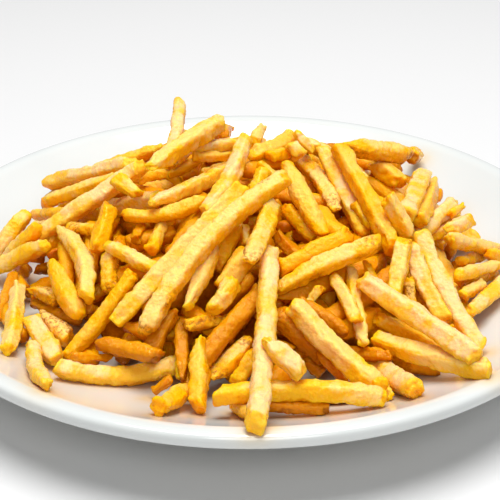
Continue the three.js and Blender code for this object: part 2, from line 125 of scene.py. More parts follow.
# Fries that show in the drawing, from the deepest to the topmost. Each row: across and down of
# one end, across and down of the other, bow, width, and how it is fried: c cream, p pale,
# g golden, d deep, darker with painted shade for fries in shade, s with skin and scorched specks.
DRAWN_FRIES = [
    # back left slope
    (203, 212, 168, 262, 0, 16, "d"),
    (143, 222, 135, 240, 0, 12, "d"),
    (163, 222, 152, 250, 0, 13, "g"),
    (95, 170, 163, 148, 0, 12, "c"),
    (141, 184, 180, 184, -10, 12, "g"),
    (168, 173, 202, 160, 0, 13, "g"),
    (60, 207, 100, 190, 0, 12, "p"),
    (32, 215, 70, 212, 0, 12, "g"),
    (47, 183, 132, 163, 0, 14, "c"),
    (45, 201, 115, 177, 1, 13, "p"),
    (38, 237, 143, 165, 0, 17, "c"),
    (179, 102, 170, 162, -2, 14, "c"),
    (168, 164, 190, 150, 0, 12, "s"),
    (138, 195, 116, 178, 0, 19, "p"),
    # left flank
    (34, 303, 78, 322, 0, 11, "d"),
    (68, 285, 92, 312, 0, 13, "d"),
    (27, 212, -8, 258, 0, 18, "p"),
    (38, 229, 3, 262, 0, 15, "p"),
    (-10, 270, 47, 244, 0, 17, "p"),
    (14, 272, 0, 320, 0, 14, "d"),
    (30, 288, 58, 299, 0, 16, "s"),
    (18, 286, 8, 350, -2, 16, "p"),
    (42, 315, 70, 340, 0, 22, "s"),
    (56, 262, 82, 316, 5, 20, "g"),
    (66, 228, 106, 231, 0, 14, "s"),
    (60, 230, 85, 298, -11, 17, "p"),
    (111, 206, 96, 252, 0, 17, "g"),
    (110, 254, 108, 292, 0, 16, "s"),
    (107, 244, 165, 275, 0, 15, "p"),
    (122, 214, 206, 198, 8, 15, "g"),
    (150, 203, 232, 166, 3, 15, "c"),
    # crest, left of the middle
    (193, 157, 232, 155, 0, 12, "g"),
    (190, 147, 246, 143, 0, 13, "c"),
    (223, 122, 150, 168, 1.5, 17, "p"),
    (263, 126, 254, 142, 0, 13, "p"),
    (292, 136, 250, 155, -3, 17, "g"),
    (246, 137, 205, 215, -4.5, 17, "c"),
    # front left corner
    (64, 359, 133, 272, 4, 17, "g"),
    (33, 322, 57, 362, 0, 20, "c"),
    (33, 345, 48, 385, 5, 16, "c"),
    (55, 366, 185, 361, 12.5, 19, "c"),
    # crest, right of the middle
    (300, 141, 320, 147, 0, 12, "c"),
    (295, 131, 313, 152, 0, 13, "c"),
    (268, 157, 306, 150, 0, 13, "g"),
    (301, 157, 290, 143, 0, 18, "c"),
    (259, 163, 282, 182, 0, 11, "g"),
    (263, 170, 250, 210, 0, 16, "p"),
    (275, 235, 297, 255, 0, 16, "d"),
    (284, 206, 315, 238, 0, 18, "g"),
    (288, 166, 325, 236, 2, 20, "g"),
    (322, 148, 365, 236, 0, 16, "c"),
    (367, 165, 401, 184, -3, 18, "g"),
    (345, 147, 411, 155, 0, 19, "s"),
    (354, 202, 372, 228, 0, 13, "g"),
    (339, 147, 395, 250, 0, 17, "g"),
    # right flank
    (436, 250, 467, 318, 0, 15, "g"),
    (425, 232, 446, 246, 0, 13, "s"),
    (436, 226, 458, 214, 0, 12, "g"),
    (424, 240, 452, 226, 0, 13, "p"),
    (454, 202, 412, 242, 0, 17, "c"),
    (450, 215, 463, 206, 0, 12, "p"),
    (471, 219, 447, 231, 0, 17, "c"),
    (433, 183, 420, 222, 0, 15, "g"),
    (424, 172, 406, 216, 0, 18, "c"),
    (387, 196, 409, 235, 0, 16, "p"),
    (461, 262, 492, 252, 0, 12, "p"),
    (448, 239, 503, 251, 0, 15, "p"),
    (488, 252, 505, 262, 0, 14, "p"),
    (458, 281, 497, 273, 0, 14, "g"),
    (457, 275, 503, 264, 0, 13, "p"),
    (462, 297, 482, 283, 0, 12, "p"),
    (512, 275, 469, 313, 0, 16, "c"),
    (422, 236, 481, 350, 4, 18, "c"),
    (411, 243, 448, 323, 4.5, 18, "c"),
    (408, 277, 411, 304, 0, 12, "s"),
    (450, 325, 462, 342, 0, 14, "g"),
    # front right
    (368, 362, 416, 390, 0, 22, "c"),
    (391, 396, 372, 378, 0, 14, "g"),
    (375, 318, 450, 352, 0, 16, "g"),
    (377, 340, 491, 371, 2, 19, "p"),
    (342, 352, 392, 356, 0, 15, "d"),
    (366, 260, 377, 288, 0, 13, "g"),
    (350, 267, 363, 345, 0, 14, "p"),
    (333, 274, 358, 322, 0, 15, "p"),
    (320, 286, 307, 307, 0, 13, "s"),
    (405, 238, 393, 298, 0, 17, "p"),
    (361, 279, 478, 358, 0, 20, "c"),
    (351, 234, 278, 270, 0, 20, "g"),
    (381, 242, 276, 290, 3, 18, "s"),
    # front middle
    (300, 300, 348, 334, 0, 16, "d"),
    (187, 352, 187, 398, 0, 10, "d"),
    (176, 360, 180, 380, 0, 9, "p"),
    (305, 358, 322, 374, 0, 14, "d"),
    (238, 222, 216, 268, 0, 18, "g"),
    (232, 403, 264, 422, 0, 14, "g"),
    (181, 320, 183, 381, 0, 14, "d"),
    (172, 310, 147, 358, 0, 20, "d"),
    (112, 357, 72, 358, 0, 10, "d"),
    (100, 343, 160, 357, 0, 17, "d"),
    (184, 326, 228, 320, 0, 15, "s"),
    (246, 224, 245, 245, 0, 10, "c"),
    (250, 250, 222, 290, 0, 22, "g"),
    (234, 282, 213, 312, 0, 19, "p"),
    (152, 393, 172, 378, 0, 13, "d"),
    (190, 388, 158, 408, 0, 20, "g"),
    (252, 340, 212, 380, 0, 18, "s"),
    (262, 290, 197, 365, 0, 20, "d"),
    (200, 338, 197, 408, 0, 18, "g"),
    (257, 352, 235, 385, 0, 18, "p"),
    (275, 312, 330, 362, 0, 24, "d"),
    (318, 352, 346, 384, 0, 14, "d"),
    (292, 303, 381, 390, 3, 21, "p"),
    (262, 404, 328, 408, 0, 15, "d"),
    (215, 397, 386, 398, -7, 20, "p"),
    (270, 249, 256, 426, -2, 20, "c"),
    (264, 338, 303, 374, 0, 21, "c"),
    # long fries on top
    (218, 238, 187, 308, 0, 18, "p"),
    (240, 189, 116, 321, 0, 19, "p"),
    (272, 203, 249, 262, -2, 18, "s"),
    (288, 176, 145, 331, 15, 19, "s"),
]

seed = SEED


def draw(low, high):
    """Minimal standard random draws, the same on every run."""
    global seed
    seed = (seed * MULTIPLIER) % MODULUS
    return low + ((high - low) * seed) / MODULUS


def unit(vectors):
    return vectors / np.maximum(np.linalg.norm(vectors, axis=-1, keepdims=True), TINY)


def bent(bow, s):
    """How far a bow carries a fry off its straight line, with s from 0 to 1 along it."""
    return bow * 4 * s * (1 - s)


def glaze_height(radius):
    """Height of the glaze at a distance from the plate's middle."""
    rise = np.maximum(0, radius - FLOOR_RADIUS) / (PLATE_RADIUS - LIP_WIDTH - FLOOR_RADIUS)
    return FLOOR_HEIGHT + (RIM_HEIGHT - FLOOR_HEIGHT) * np.minimum(1, rise) ** WALL_CURL


def mound_height(radius, spread, height):
    """Height of a mound of fries, falling away as a cone outside its foot."""
    inside = np.maximum(0, 1 - (radius / spread) ** 2) ** HEAP_ROUNDING
    cone = FLOOR_HEIGHT - SKIRT_SLOPE * (radius - spread)
    return np.where(radius > spread, cone, FLOOR_HEIGHT + height * inside)


def crest(x, y):
    """Height of the heap's smooth outline, or of the glaze where that is higher."""
    radius = np.hypot(x, y)
    return np.maximum(mound_height(radius, HEAP_RADIUS, HEAP_HEIGHT), glaze_height(radius))


# ---- sight lines ----
AHEAD = np.array([0, math.cos(SIGHT_ANGLE), -math.sin(SIGHT_ANGLE)])
ABOVE = np.array([0, math.sin(SIGHT_ANGLE), math.cos(SIGHT_ANGLE)])
ASIDE = np.array([1.0, 0, 0])
EYE = AIM - EYE_DISTANCE * AHEAD


def from_drawing(across, down, depth):
    """The point at a place in the drawing and a depth from the eye."""
    across, down, depth = (np.asarray(value, float)[..., None] for value in (across, down, depth))
    scale = depth / DRAWING_LENS
    sideways = (across - DRAWING_MIDDLE) * scale * ASIDE
    return EYE + depth * AHEAD + (DRAWING_MIDDLE - down) * scale * ABOVE + sideways


def to_drawing(points):
    offset = points - EYE
    depth = offset @ AHEAD
    scale = DRAWING_LENS / depth
    return DRAWING_MIDDLE + offset[..., 0] * scale, DRAWING_MIDDLE - offset @ ABOVE * scale, depth


def meet_mound(across, down):
    """Depth of the first point under the mound along a sight line, or of the nearest to it."""
    depths = np.arange(*SIGHT_DEPTHS)
    points = from_drawing(across, down, depths)
    radius = np.hypot(points[:, 0], points[:, 1])
    gaps = points[:, 2] - mound_height(radius, HEAP_RADIUS, HEAP_HEIGHT)
    met = np.flatnonzero(gaps <= 0)
    return float(depths[met[0]] if len(met) else depths[np.argmin(gaps)])


class DrawnFry:
    """A fry that keeps its place in the drawing. Only the depths of its two ends are free."""

    def __init__(self, across0, down0, across1, down1, bow, width, kind):
        self.start = np.array([across0, down0], float)
        self.run = np.array([across1 - across0, down1 - down0], float)
        self.bow = bow
        self.width = width
        self.kind = kind
        self.home = np.array([meet_mound(*self.place(s)) + BEHIND_CREST for s in (0.0, 1.0)])
        self.radius = width * self.home.sum() / 4 / DRAWING_LENS
        self.depths = self.home.copy()

    def place(self, s):
        s = np.asarray(s)[..., None]
        turned = np.array([-self.run[1], self.run[0]])
        off = bent(self.bow, s) / np.hypot(*self.run)
        return (self.start + self.run * s + turned * off).T

    def depth_at(self, s):
        return self.depths[0] * (1 - s) + self.depths[1] * s

    def points(self, s):
        return from_drawing(*self.place(s), self.depth_at(s))

    def shift(self, s, way):
        """Moves it along the sight line through one of its points, and its ends with it."""
        self.depths += way / ((1 - s) ** 2 + s**2) * np.array([1 - s, s])


def crossings(under, over):
    """Where one fry passes in front of another, and how far apart they must be there."""
    steps = np.arange(CROSSING_STEPS + 1) / CROSSING_STEPS
    below = under.place(steps)
    upper = over.place(steps)
    off = np.hypot(*(below[:, :, None] - upper[:, None, :]))
    reach = (under.width + over.width) / 2
    scale = (under.home[0] + over.home[0]) / 2 / DRAWING_LENS
    a, b = np.nonzero(off < reach)
    return steps[a], steps[b], np.sqrt(reach**2 - off[a, b] ** 2) * scale


def settle(fries):
    """Sorts out the depths: each fry is drawn to the mound and kept clear of its neighbours."""
    pairs = []
    for number, over in enumerate(fries):
        for under in fries[:number]:
            a, b, gap = crossings(under, over)
            if len(a):
                pairs.append((under, over, a, b, gap * PRESSED))
    for _ in range(SETTLING):
        for fry in fries:
            fry.depths += PULL * (fry.home - fry.depths)
        for under, over, a, b, gap in pairs:
            overlap = gap - under.depth_at(a) + over.depth_at(b)
            worst = np.argmax(overlap)
            push = overlap[worst] / 2
            if push > 0:
                under.shift(a[worst], push)
                over.shift(b[worst], -push)
        for fry in fries:
            for s in ALONG:
                point = fry.points(s)
                floor = glaze_height(math.hypot(point[0], point[1])) + PLATE_GAP + fry.radius
                if floor > point[2]:
                    fry.shift(s, point[2] - floor)


fries = []


def beads_of(path):
    """Points close together along a fry's middle line."""
    place = BEADS_ALONG * STATIONS
    before = np.minimum(place.astype(int), STATIONS - 1)
    part = (place - before)[:, None]
    return path[before] * (1 - part) + path[before + 1] * part


def keep(path, radius, kind):
    roll = draw(0, math.pi / 2)
    fries.append(
        {"path": path, "radius": radius, "beads": beads_of(path), "roll": roll, "kind": kind}
    )


# ---- what the drawing leaves free ----
CELL = 3  # of a grid over the drawing
COLUMNS, ROWS, LEFT, TOP = 200, 140, -50, 60


def cells_at(across, down):
    """Numbers of the cells at places in the drawing, and -1 outside all of them."""
    column = np.floor((across - LEFT) / CELL + 0.5).astype(int)
    row = np.floor((down - TOP) / CELL + 0.5).astype(int)
    outside = (column < 0) | (row < 0) | (column >= COLUMNS) | (row >= ROWS)
    return np.where(outside, -1, row * COLUMNS + column)


def cells_behind(fry):
    """The cells that each of its beads covers, and how deep that bead is."""
    for point in fry["beads"]:
        across, down, depth = to_drawing(point)
        span = fry["radius"] * DRAWING_LENS / depth
        steps = np.arange(-span, span + TINY, CELL)
        u, v = np.meshgrid(steps, steps)
        near = np.hypot(u, v) <= span
        cells = cells_at(across + u[near], down + v[near])
        yield cells[cells >= 0], depth


def drawn_nearness():
    """How near the drawn fries come along each sight line: minus infinity where only the core
    is behind, and infinity past the heap's outline, where nothing may show."""
    down, across = np.mgrid[0:ROWS, 0:COLUMNS] * CELL
    nearness = np.full(COLUMNS * ROWS, np.inf)
    for depth in range(*SIGHT_DEPTHS, CORE_STEP):
        points = from_drawing(across + LEFT, down + TOP, np.full(across.shape, depth))
        core = mound_height(np.hypot(points[..., 0], points[..., 1]), CORE_RADIUS, CORE_HEIGHT)
        inside = (points[..., 2] >= FLOOR_HEIGHT) & (points[..., 2] < core)
        nearness[inside.ravel()] = -np.inf
    for fry in fries:
        for cells, depth in cells_behind(fry):
            before = np.where(np.isposinf(nearness[cells]), -np.inf, nearness[cells])
            nearness[cells] = np.maximum(before, -depth)
    return nearness


def bays_opened(nearness):
    """Frees the narrow bays of the outline, with fries on both sides of them."""
    taken = np.isfinite(nearness).reshape(ROWS, COLUMNS)
    closed = np.zeros_like(taken)
    for axis in (0, 1):
        before, after = (
            np.any([np.roll(taken, way * k, axis) for k in range(1, BAY_CELLS + 1)], axis=0)
            for way in (1, -1)
        )
        closed |= before & after
    bays = closed.ravel() & np.isposinf(nearness)
    return np.where(bays, -np.inf, nearness)


def leaves_drawing(path, radius):
    """Whether a fry leaves the drawing as it is: behind all drawn fries, inside the outline."""
    for lift in (0, UPPER_EDGE * radius):
        across, down, depth = to_drawing(path + ABOVE * lift)
        cells = cells_at(across, down)
        found = np.where(cells < 0, -np.inf, nearness[cells])
        if not np.all(np.isneginf(found) | (np.isfinite(found) & (-depth < found))):
            return False
    return True


def cut(shortest, longest):
    """Length and radius of one more fry."""
    return draw(shortest, longest), draw(THINNEST_FRY, THICKEST_FRY) / 2


def above_plate(path, radius):
    return path[:, 2] - glaze_height(np.hypot(path[:, 0], path[:, 1])) - radius - PLATE_GAP


def within_reach(path):
    return np.all(np.hypot(path[:, 0], path[:, 1]) < HEAP_RADIUS + OVERHANG)


def scattered(layer, angles, places):
    """A fry at a place and turn of its own, with its ends a little under the mound's surface."""
    deepest, highest = layer
    angle = draw(*angles)
    place = math.sqrt(draw(places[0] ** 2, places[1] ** 2))
    length, radius = cut(SHORTEST_FRY, LONGEST_FRY)
    turn = draw(0, math.pi)
    bow = draw(-BOW, BOW)
    sunk = draw(highest, deepest), draw(highest, deepest)
    along = np.array([math.cos(turn), math.sin(turn)])
    aside = np.array([-along[1], along[0]])
    middle = np.array([math.cos(angle), math.sin(angle)]) * place
    ends = [middle - along * length / 2, middle + along * length / 2]
    heights = [float(crest(*ends[end])) - radius - sunk[end] for end in (0, 1)]
    s = ALONG[:, None]
    plan = ends[0] * (1 - s) + ends[1] * s + bent(aside * bow, s)
    path = np.hstack([plan, heights[0] * (1 - s) + heights[1] * s])
    floor = glaze_height(np.hypot(*plan.T)) + PLATE_GAP + radius
    path[:, 2] += max(0, np.max(floor - path[:, 2]))
    return path, radius


def clear_of(others, path, radius, pressed=FAR_PRESSED):
    """Whether a fry keeps its distance from the others."""
    beads = beads_of(path)
    middle = beads[BEADS // 2]
    reach = LONGEST_FRY + THICKEST_FRY
    close = [o for o in others if np.linalg.norm(o["beads"][BEADS // 2] - middle) <= reach]
    if not close:
        return True
    there = np.array([o["beads"] for o in close])
    gaps = np.array([(radius + o["radius"]) * pressed for o in close]) ** 2
    apart = ((there[:, :, None, :] - beads[None, None, :, :]) ** 2).sum(axis=3)
    return bool(np.all(apart.min(axis=(1, 2)) > gaps))


def fits(path, radius):
    return within_reach(path) and leaves_drawing(path, radius) and clear_of(fries, path, radius)


drawn = [DrawnFry(*row) for row in DRAWN_FRIES]
settle(drawn)
for fry in drawn:
    keep(fry.points(ALONG), fry.radius, fry.kind)
nearness = drawn_nearness()

# The far side repeats the near one, mirrored and turned, and has more fries in between.
MIXED_KINDS = "pgcgspdgpscg"
near_side = list(fries)
for fry in near_side:
    if np.linalg.norm(fry["path"][0] - fry["path"][-1]) < FAR_SHORTEST:
        continue
    x, y = fry["path"][:, 0], -fry["path"][:, 1]
    turned_x = x * math.cos(FAR_TURN) - y * math.sin(FAR_TURN)
    turned_y = x * math.sin(FAR_TURN) + y * math.cos(FAR_TURN)
    path = np.column_stack([turned_x, turned_y, fry["path"][:, 2]])
    if leaves_drawing(path, fry["radius"]) and clear_of(near_side, path, fry["radius"]):
        keep(path, fry["radius"], fry["kind"])
for layer in FAR_LAYERS:
    for _ in range(FAR_TRIES):
        path, radius = scattered(layer, FAR_ANGLES, FAR_PLACES)
        if fits(path, radius):
            keep(path, radius, MIXED_KINDS[len(fries) % len(MIXED_KINDS)])


# ---- fries deeper in the heap, which show only in its gaps ----
def inwards(x, y):
    """The way into the heap, square to its smooth outline."""
    slope_x = float(crest(x + 1, y) - crest(x - 1, y)) / 2
    slope_y = float(crest(x, y + 1) - crest(x, y - 1)) / 2
    return unit(np.array([slope_x, slope_y, -1.0]))


def pressed_up(needed):
    """Depth and tilt of a straight bar that needs to lie so deep at each bead. Like a bar pressed
    against what is above it, it touches on either side of its middle."""
    half = BEADS // 2
    first, last = np.meshgrid(np.arange(half + 1), np.arange(half, BEADS + 1), indexing="ij")
    width = np.maximum(BEADS_ALONG[last] - BEADS_ALONG[first], TINY)
    tilt = (needed[last] - needed[first]) / width
    across_middle = needed[first] + tilt * (0.5 - BEADS_ALONG[first])
    depth = np.where(last > first, across_middle, needed[half])
    best = np.unravel_index(np.argmax(depth), depth.shape)
    return depth[best], np.where(last > first, tilt, 0)[best]


def slid_under(x, y):
    """Path and radius of a fry that lies against the underside of those above it, or None. It
    is pushed inwards from the mound's surface, and passes over what lies deeper than its layer."""
    turn = draw(0, math.pi)
    layer = draw(*LOW_LAYERS)
    length, radius = cut(*LOW_LENGTHS)
    bow = draw(-BOW, BOW)
    inward = inwards(x, y)
    level = unit(np.cross(inward, [math.cos(turn), math.sin(turn), 0]))
    along = np.cross(level, inward)
    s = ALONG[:, None]
    flat = np.array([x, y, float(crest(x, y))]) + along * (s - 0.5) * length
    flat = flat + bent(level * bow, s)
    beads = beads_of(flat)
    middle = flat[STATIONS // 2]
    near = [o for o in fries if np.linalg.norm(o["beads"][BEADS // 2] - middle) < LOW_SIGHT]
    there = np.concatenate([fry["beads"] for fry in near])
    reach = (radius + np.repeat([fry["radius"] for fry in near], BEADS + 1)) * LOW_PRESSED
    offset = there[None] - beads[:, None]
    depth = offset @ inward
    aside = (offset**2).sum(axis=2) - depth**2
    clear = np.sqrt(np.maximum(0, reach**2 - aside))
    under = np.where((aside < reach**2) & (depth < layer), depth + clear, -np.inf)
    over = np.where((aside < reach**2) & (depth >= layer), depth - clear, np.inf).min(axis=1)
    outside = (beads[:, 2] - crest(beads[:, 0], beads[:, 1])) * -inward[2] + radius
    needed = np.maximum(under.max(axis=1), outside)
    sunk, tilt = pressed_up(needed)
    blocked = np.any(sunk + tilt * (BEADS_ALONG - 0.5) > over)
    if blocked or sunk > LOW_DEEPEST or abs(tilt) > LOW_TILT:
        return None
    path = flat + inward * (sunk + tilt * (s - 0.5))
    rests = within_reach(path) and above_plate(path, radius).min() >= 0
    return (path, radius) if rests and leaves_drawing(path, radius) else None


def anywhere():
    """A place on the plate, under the heap."""
    angle = draw(0, 2 * math.pi)
    place = math.sqrt(draw(0, LOW_PLACE**2))
    return place * math.cos(angle), place * math.sin(angle)


def in_a_gap(deeper=0.0):
    """A place on the mound, or deeper, where a sight line still passes between all fries."""
    open_cells = np.flatnonzero(bare)
    row, column = divmod(int(open_cells[int(draw(0, len(open_cells)))]), COLUMNS)
    across, down = LEFT + column * CELL, TOP + row * CELL
    return from_drawing(across, down, meet_mound(across, down) + deeper)


def stuffed():
    """A fry squeezed in behind a gap, however it fits, or None."""
    middle = in_a_gap(draw(*STUFFED_DEEPER))
    turn, tilt = draw(0, math.pi), draw(-STUFFED_TILT, STUFFED_TILT)
    length, radius = cut(*LOW_LENGTHS)
    bow = draw(-BOW, BOW)
    along = np.array([math.cos(turn), math.sin(turn), tilt])
    level = np.array([-math.sin(turn), math.cos(turn), 0])
    s = ALONG[:, None]
    path = middle + along * (s - 0.5) * length + bent(level * bow, s)
    path[:, 2] -= min(0, above_plate(path, radius).min())
    inside = within_reach(path) and np.all(path[:, 2] < crest(path[:, 0], path[:, 1]))
    if not inside or not leaves_drawing(path, radius):
        return None
    return (path, radius) if clear_of(fries, path, radius, STUFFED_PRESSED) else None


LOW_KIND = "l"
nearness = bays_opened(nearness)
bare = np.isneginf(nearness)
for attempt in range(LOW_TRIES):
    if attempt >= LOW_TRIES - STUFFED_TRIES:
        found = stuffed() if bare.any() else None
    else:
        found = slid_under(*(anywhere() if attempt % 2 or not bare.any() else in_a_gap()[:2]))
    if found:
        keep(*found, LOW_KIND)
        for cells, _ in cells_behind(fries[-1]):
            bare[cells] = False

# ---- surfaces ----
LATTICE = 32  # knots of the random fields, which repeat past it
BLISTER_MIDDLES = (0.1, 0.9)  # of their cells
rng = np.random.default_rng(SEED)
lattice = rng.uniform(-1, 1, (LATTICE, LATTICE, LATTICE))
centres = rng.uniform(*BLISTER_MIDDLES, (LATTICE, LATTICE, LATTICE, 3))


def wander(points, lump):
    """A smooth random field between -1 and 1, with lumps of the given size."""
    place = points / lump
    cell = np.floor(place).astype(int)
    part = place - cell
    part = part * part * (3 - 2 * part)
    total = np.zeros(len(points))
    for corner in np.ndindex(2, 2, 2):
        at = (cell + corner) % LATTICE
        total += np.prod(np.where(corner, part, 1 - part), axis=1) * lattice[tuple(at.T)]
    return total


def blisters(points, size):
    """Round bumps of the given size: 1 at their tops and 0 in between."""
    place = points / size
    cell = np.floor(place).astype(int)
    nearest = np.ones(len(points))
    for step in np.ndindex(3, 3, 3):
        at = cell + step - np.ones(3, int)
        middle = at + centres[tuple((at % LATTICE).T)]
        nearest = np.minimum(nearest, ((place - middle) ** 2).sum(axis=1))
    return 1 - nearest


def smooth(value, low, high):
    """0 below low, 1 above high, and a soft step between them."""
    part = np.clip((value - low) / (high - low), 0, 1)
    return part * part * (3 - 2 * part)


# ---- one fry ----
PITCH = 0.7  # of the grid on a fry that shows
LOW_PITCH = 1.7
SIDE = 0.98  # side of a fry's square section, of its width
EDGE_ROUND = (0.5, 0.95)  # of half its side
END_ROUND = (0.9, 2.2)
FEWEST_RINGS, FEWEST_COLUMNS = 4, 3
CURVE_DEGREE = 4
PAST_ENDS = 0.02  # how far past its middle line's ends its skin may reach
TWIST = 0.25

# Fields that vary its skin. Each has an amount, the size of its lumps and a place of its own.
PLACES = 500  # how far apart the fries lie in the fields
THICKER = ((0.07, 11, 0), (0.05, 5, 70))
TALLER = ((0.07, 13, 30), (0.04, 5, 90))
WAVES = (0.45, 5, 0)
RIPPLES = (0.35, 2.3, 11)
# browner on some edges, and paler on others as painted highlights
EDGE_BROWN_AND_HIGHLIGHT = (0.5, 6, 77)
PATCH_BROWN = (0.4, 4.5, 120)
BAND_BROWN = (0.4, 13, 210)
ROUGH_SIZE = 7
RAGGED, RAGGED_SIZE, RAGGED_PLACE = 1.1, 1.9, 55
CHIP_SIZE, CHIP_PLACE = 2.6, 200
CHIPPED = (0.25, 0.75)
CHIP_DEPTH = 0.6
PEEL_SIZE, PEEL_PLACE = 7, 300
PEELED = (-0.2, 0.1)
PEEL_LENGTH = 20

# Its ends: how much thinner they get, how often, over what length, and how slanted they are.
THINNER = (0.08, 0.2, 0.4, 0.6)
THINNER_ODDS = (0.35, 0.3, 0.2, 0.15)
THINNER_LENGTHS = (5, 14)
LOWER = 0.6  # how much of that is lost in its height too
SLANT = 0.3
SLANT_LENGTH = 5
END_DEPTHS = (-2.6, -0.2)

# Blisters, coarse and fine, and how high they stand: at least, and more where it is rough.
KNOB_SIZE, KNOB_LEAST, KNOB_MORE = 1.7, 0.2, 0.7
FINE_SIZE, FINE_LEAST, FINE_MORE, FINE_PLACE = 0.95, 0.18, 0.45, 40
BLISTER_FOOT = 0.65
FLAT_SINKS = 0.15
EDGE_BAND = (0.62, 0.95)  # of half its side

# How brown it is, against a middle value. Some of its terms paint light and shade into it.
BROWN_START = 0.3
# painted light: faces that point upward are made paler, as if lit from above, and downward ones
# darker, as if shaded
UPPER_PAINTED_LIGHT = 0.5
# painted shade: parts deep under the mound's smooth surface are made darker, as the gaps between
# fries are shaded
COVERED_PAINTED_SHADE = 0.35
PAINTED_SHADE_DEPTHS = (3, 20)
ENDS_BROWNER = 0.45
# painted highlight and shade: blister tops are made paler and the hollows between them darker
KNOB_TOPS_PAINTED_LIGHT = 0.35
CHIPS_BROWNER = 0.4
BROWN_SPREAD = 0.07  # between one fry and the next

grids = {}


def bar_grid(rings, columns):
    """A cube from -1 to 1, cut into a grid with so many squares along X and across it."""
    if (rings, columns) not in grids:
        bar = bmesh.new()
        bmesh.ops.create_cube(bar, size=2)
        for axis, squares in enumerate((rings, columns, columns)):
            long = [e for e in bar.edges if abs((e.verts[0].co - e.verts[1].co)[axis]) > 1]
            bmesh.ops.subdivide_edges(bar, edges=long, cuts=squares - 1, use_grid_fill=True)
        bmesh.ops.recalc_face_normals(bar, faces=bar.faces)
        bar.verts.index_update()
        corners = np.array([vert.co for vert in bar.verts])
        squares = np.array([[vert.index for vert in face.verts] for face in bar.faces])
        bar.free()
        grids[rings, columns] = corners, squares
    return grids[rings, columns]


def rounded_bar(length, half, pitch, own):
    """Points of a bar with rounded edges, which way its skin faces there, and its squares."""
    rings = max(FEWEST_RINGS, round(length / pitch))
    grid, squares = bar_grid(rings, max(FEWEST_COLUMNS, round(2 * half / pitch)))
    size = np.array([length / 2, half, half])
    edge = half * own.uniform(*EDGE_ROUND)
    rounding = np.array([own.uniform(*END_ROUND), edge, edge])
    spot = grid * size
    inner = np.clip(spot, rounding - size, size - rounding)
    skin = unit((spot - inner) / rounding)
    return inner + skin * rounding, skin, squares


def on_path(fry, length, spot, skin, own):
    """Lays a straight bar along a fry's middle line, with a twist. Gives its points there and
    how far upward its skin faces."""
    curve = np.polynomial.polynomial.polyfit(ALONG, fry["path"], CURVE_DEGREE)
    s = np.clip(spot[:, 0] / length + 0.5, -PAST_ENDS, 1 + PAST_ENDS)
    middle = np.polynomial.polynomial.polyval(s, curve).T
    slope = np.polynomial.polynomial.polyder(curve)
    ahead = unit(np.polynomial.polynomial.polyval(s, slope).T)
    aside = unit(np.cross([0, 0, 1], ahead))
    lift = np.cross(ahead, aside)
    roll = fry["roll"] + own.uniform(-TWIST, TWIST) * (s - 0.5)
    cos, sin = np.cos(roll), np.sin(roll)
    rolled_y = spot[:, 1] * cos - spot[:, 2] * sin
    rolled_z = spot[:, 1] * sin + spot[:, 2] * cos
    points = middle + aside * rolled_y[:, None] + lift * rolled_z[:, None]
    upward = (aside[:, 2] * (skin[:, 1] * cos - skin[:, 2] * sin)
              + lift[:, 2] * (skin[:, 1] * sin + skin[:, 2] * cos))
    return points, upward


def field(points, amount, lump, place):
    """One of the fields that vary its skin."""
    return amount * wander(points + place, lump)


